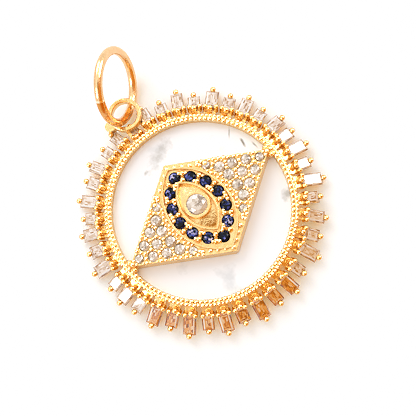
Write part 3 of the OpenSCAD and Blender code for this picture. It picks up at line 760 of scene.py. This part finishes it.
# The glow in the narrow gaps between the stones, warmer and stronger, painted light that stands in for the
# light the gold throws down; how far away a stone or a prong still counts, in mm, and the share of open space
# in a gap and on the free sheet
GAP_GLOW = "#ffa444"
GAP_LIT = 0.48
GAP_REACH = 1.25
GAP_OPEN = (0.3, 0.75)
# The tent's colour from the horizon (0) to straight above (1)
TENT = [(0.0, "#e9e8e8"), (1.0, "#fdfdfc"), (0.4, "#e6e4e2"), (0.8, "#f7f6f5")]
TENT_STRENGTH = 1.27
# The opening in the tent that the camera looks through: its direction in the photograph and its elevation,
# its colour, and its share from well off it to its middle
OPENING = (-55, 73)
OPENING_TINT = "#a97a3c"
OPENING_SHARE = [(0.96, "#000000"), (0.98, "#ffffff")]
# The warmer, darker side of the room, in the same way
WARM_SIDE = (-42, 18)
WARM = "#d49850"
WARM_SHARE = [(0.38, "#000000"), (0.86, "#ffffff")]
# Soft lights: name, direction as an angle in the photograph, elevation, distance and size in m, power in W,
# colour. The cards are white boards that only show as reflections.
LIGHTS = [
    ("overhead", 125, 40, 0.25, 0.14, 0.22, "#fffcf8"),
    ("right_card", 42, 40, 0.2, 0.13, 0.25, "#ffffff"),
    ("left_card", -146, 41, 0.2, 0.1, 0.14, "#ffffff"),
]

# The print: gamma of the scale that it is sharpened in, strength of the sharpening, and colour as a share
# of the plain render's
GAMMA = 2.2
CRISP = 0.2
RICH = 1.06

# From the image's own axes (right, up, towards the viewer) to the pendant's
to_pendant = Matrix.Rotation(-PENDANT_TURN, 4, "Z")


def table():
    """The sheet of milky acrylic that the pendant lies on."""
    mesh = bpy.data.meshes.new("table_top")
    corners = [(x * TABLE_HALF * MM, y * TABLE_HALF * MM, -TABLE_CLEAR * MM)
               for x, y in ((-1, -1), (1, -1), (1, 1), (-1, 1))]
    mesh.from_pydata(corners, [], [(0, 1, 2, 3)])
    top = bpy.data.objects.new("table_top", mesh)
    scene.collection.objects.link(top)
    material, tree, output = new_material("lit_white_acrylic")
    place = object_coordinates(tree)
    # Milky acrylic with a fine tooth
    tooth = add(tree, "ShaderNodeTexNoise", {"Vector": place, "Scale": 1 / (TOOTH * MM)})
    tone = add(tree, "ShaderNodeValToRGB", {"Fac": tooth.outputs["Fac"]}, stops=TABLE_TONES)
    # An even glow on the free sheet; in the gaps between the stones, a warmer, stronger glow, painted light
    # that stands in for the warm light off the gold
    closed = add(tree, "ShaderNodeAmbientOcclusion", {"Distance": GAP_REACH * MM}, samples=8)
    free = add(tree, "ShaderNodeMapRange", {
        "Value": closed.outputs["AO"], "From Min": GAP_OPEN[0], "From Max": GAP_OPEN[1]}).outputs["Result"]
    glow = add(tree, "ShaderNodeMix", {
        "Factor": free, "A": linear(GAP_GLOW), "B": linear(TABLE_GLOW)}, data_type="RGBA").outputs["Result"]
    lit = add(tree, "ShaderNodeMapRange", {"Value": free, "To Min": GAP_LIT, "To Max": TABLE_LIT})
    shader = add(tree, "ShaderNodeBsdfPrincipled", {
        "Base Color": tone.outputs["Color"], "Roughness": 0.8, "Specular IOR Level": 0.2,
        "Emission Color": glow, "Emission Strength": lit.outputs["Result"]})
    tree.links.new(shader.outputs["BSDF"], output.inputs["Surface"])
    mesh.materials.append(material)


def camera():
    """Looks down at the pendant, a little from the side, framed as the photograph is."""
    data = bpy.data.cameras.new("camera")
    data.sensor_width = SENSOR
    data.lens = SENSOR * CAMERA_DISTANCE / MM / MM_PER_PIXEL / IMAGE
    data.shift_x = (IMAGE / 2 - ORIGIN_PIXEL[0]) / IMAGE
    data.shift_y = (ORIGIN_PIXEL[1] - IMAGE / 2) / IMAGE
    data.clip_start = 1 * MM
    data.clip_end = 2
    eye = bpy.data.objects.new("camera", data)
    scene.collection.objects.link(eye)
    axis = (-math.sin(TILT_TOWARDS), math.cos(TILT_TOWARDS), 0)
    eye.matrix_world = (to_pendant @ Matrix.Rotation(CAMERA_TILT, 4, axis)
                        @ Matrix.Translation((0, 0, CAMERA_DISTANCE)))
    scene.camera = eye


def soft_box(name, direction, elevation, distance, size, power, colour):
    """A round soft light aimed at the pendant; direction is its angle in the photograph."""
    data = bpy.data.lights.new(name, "AREA")
    data.shape = "DISK"
    data.size = size
    data.energy = power
    data.color = linear(colour)[:3]
    light = bpy.data.objects.new(name, data)
    scene.collection.objects.link(light)
    light.matrix_world = (to_pendant @ Matrix.Rotation(math.radians(direction), 4, "Z")
                          @ Matrix.Rotation(math.radians(90 - elevation), 4, "Y")
                          @ Matrix.Translation((0, 0, distance)))
    light.visible_diffuse = not name.endswith("card")


def studio():
    """A bright tent overhead that darkens towards the horizon, and three soft lights in it."""
    world = bpy.data.worlds.new("studio")
    world.use_nodes = True
    tree = world.node_tree
    tree.nodes.clear()
    out = add(tree, "ShaderNodeOutputWorld")
    direction = add(tree, "ShaderNodeTexCoord").outputs["Generated"]
    height = add(tree, "ShaderNodeSeparateXYZ", {"Vector": direction}).outputs["Z"]
    tent = add(tree, "ShaderNodeValToRGB", {"Fac": height}, stops=TENT).outputs["Color"]
    for (turn, rise), tint, share in ((WARM_SIDE, WARM, WARM_SHARE), (OPENING, OPENING_TINT, OPENING_SHARE)):
        turn, rise = math.radians(turn), math.radians(rise)
        side = to_pendant @ Vector((math.cos(turn) * math.cos(rise), math.sin(turn) * math.cos(rise),
                                    math.sin(rise)))
        towards = add(tree, "ShaderNodeVectorMath", {0: direction, 1: side}, operation="DOT_PRODUCT")
        share = add(tree, "ShaderNodeValToRGB", {"Fac": towards.outputs["Value"]},
                    stops=share).outputs["Color"]
        tent = add(tree, "ShaderNodeMix", {"Factor": share, "A": tent, "B": linear(tint)},
                   data_type="RGBA").outputs["Result"]
    sky = add(tree, "ShaderNodeBackground", {"Color": tent, "Strength": TENT_STRENGTH})
    plain = add(tree, "ShaderNodeBackground", {"Color": linear("#ffffff"), "Strength": 1.0})
    seen = add(tree, "ShaderNodeLightPath").outputs["Is Camera Ray"]
    both = add(tree, "ShaderNodeMixShader", {0: seen, 1: sky.outputs["Background"],
                                             2: plain.outputs["Background"]})
    tree.links.new(both.outputs["Shader"], out.inputs["Surface"])
    scene.world = world
    scene.view_settings.view_transform = "Standard"
    for light in LIGHTS:
        soft_box(*light)


def printed_look():
    """The crisp print of a shop's picture: a clamp, a light sharpening and a little more colour."""
    scene.use_nodes = True
    tree = scene.node_tree
    tree.nodes.clear()
    seen = add(tree, "CompositorNodeRLayers").outputs["Image"]
    held = add(tree, "CompositorNodeMixRGB", {0: 0.0, 1: seen, 2: seen}, use_clamp=True).outputs[0]
    even = add(tree, "CompositorNodeGamma", {"Image": held, "Gamma": 1 / GAMMA}).outputs[0]
    crisp = add(tree, "CompositorNodeFilter", {"Image": even, "Fac": CRISP},
                filter_type="SHARPEN_DIAMOND").outputs[0]
    rich = add(tree, "CompositorNodeHueSat", {"Image": crisp, "Saturation": RICH}).outputs[0]
    back = add(tree, "CompositorNodeGamma", {"Image": rich, "Gamma": GAMMA}).outputs[0]
    add(tree, "CompositorNodeComposite", {"Image": back})


camera()
table()
studio()
printed_look()
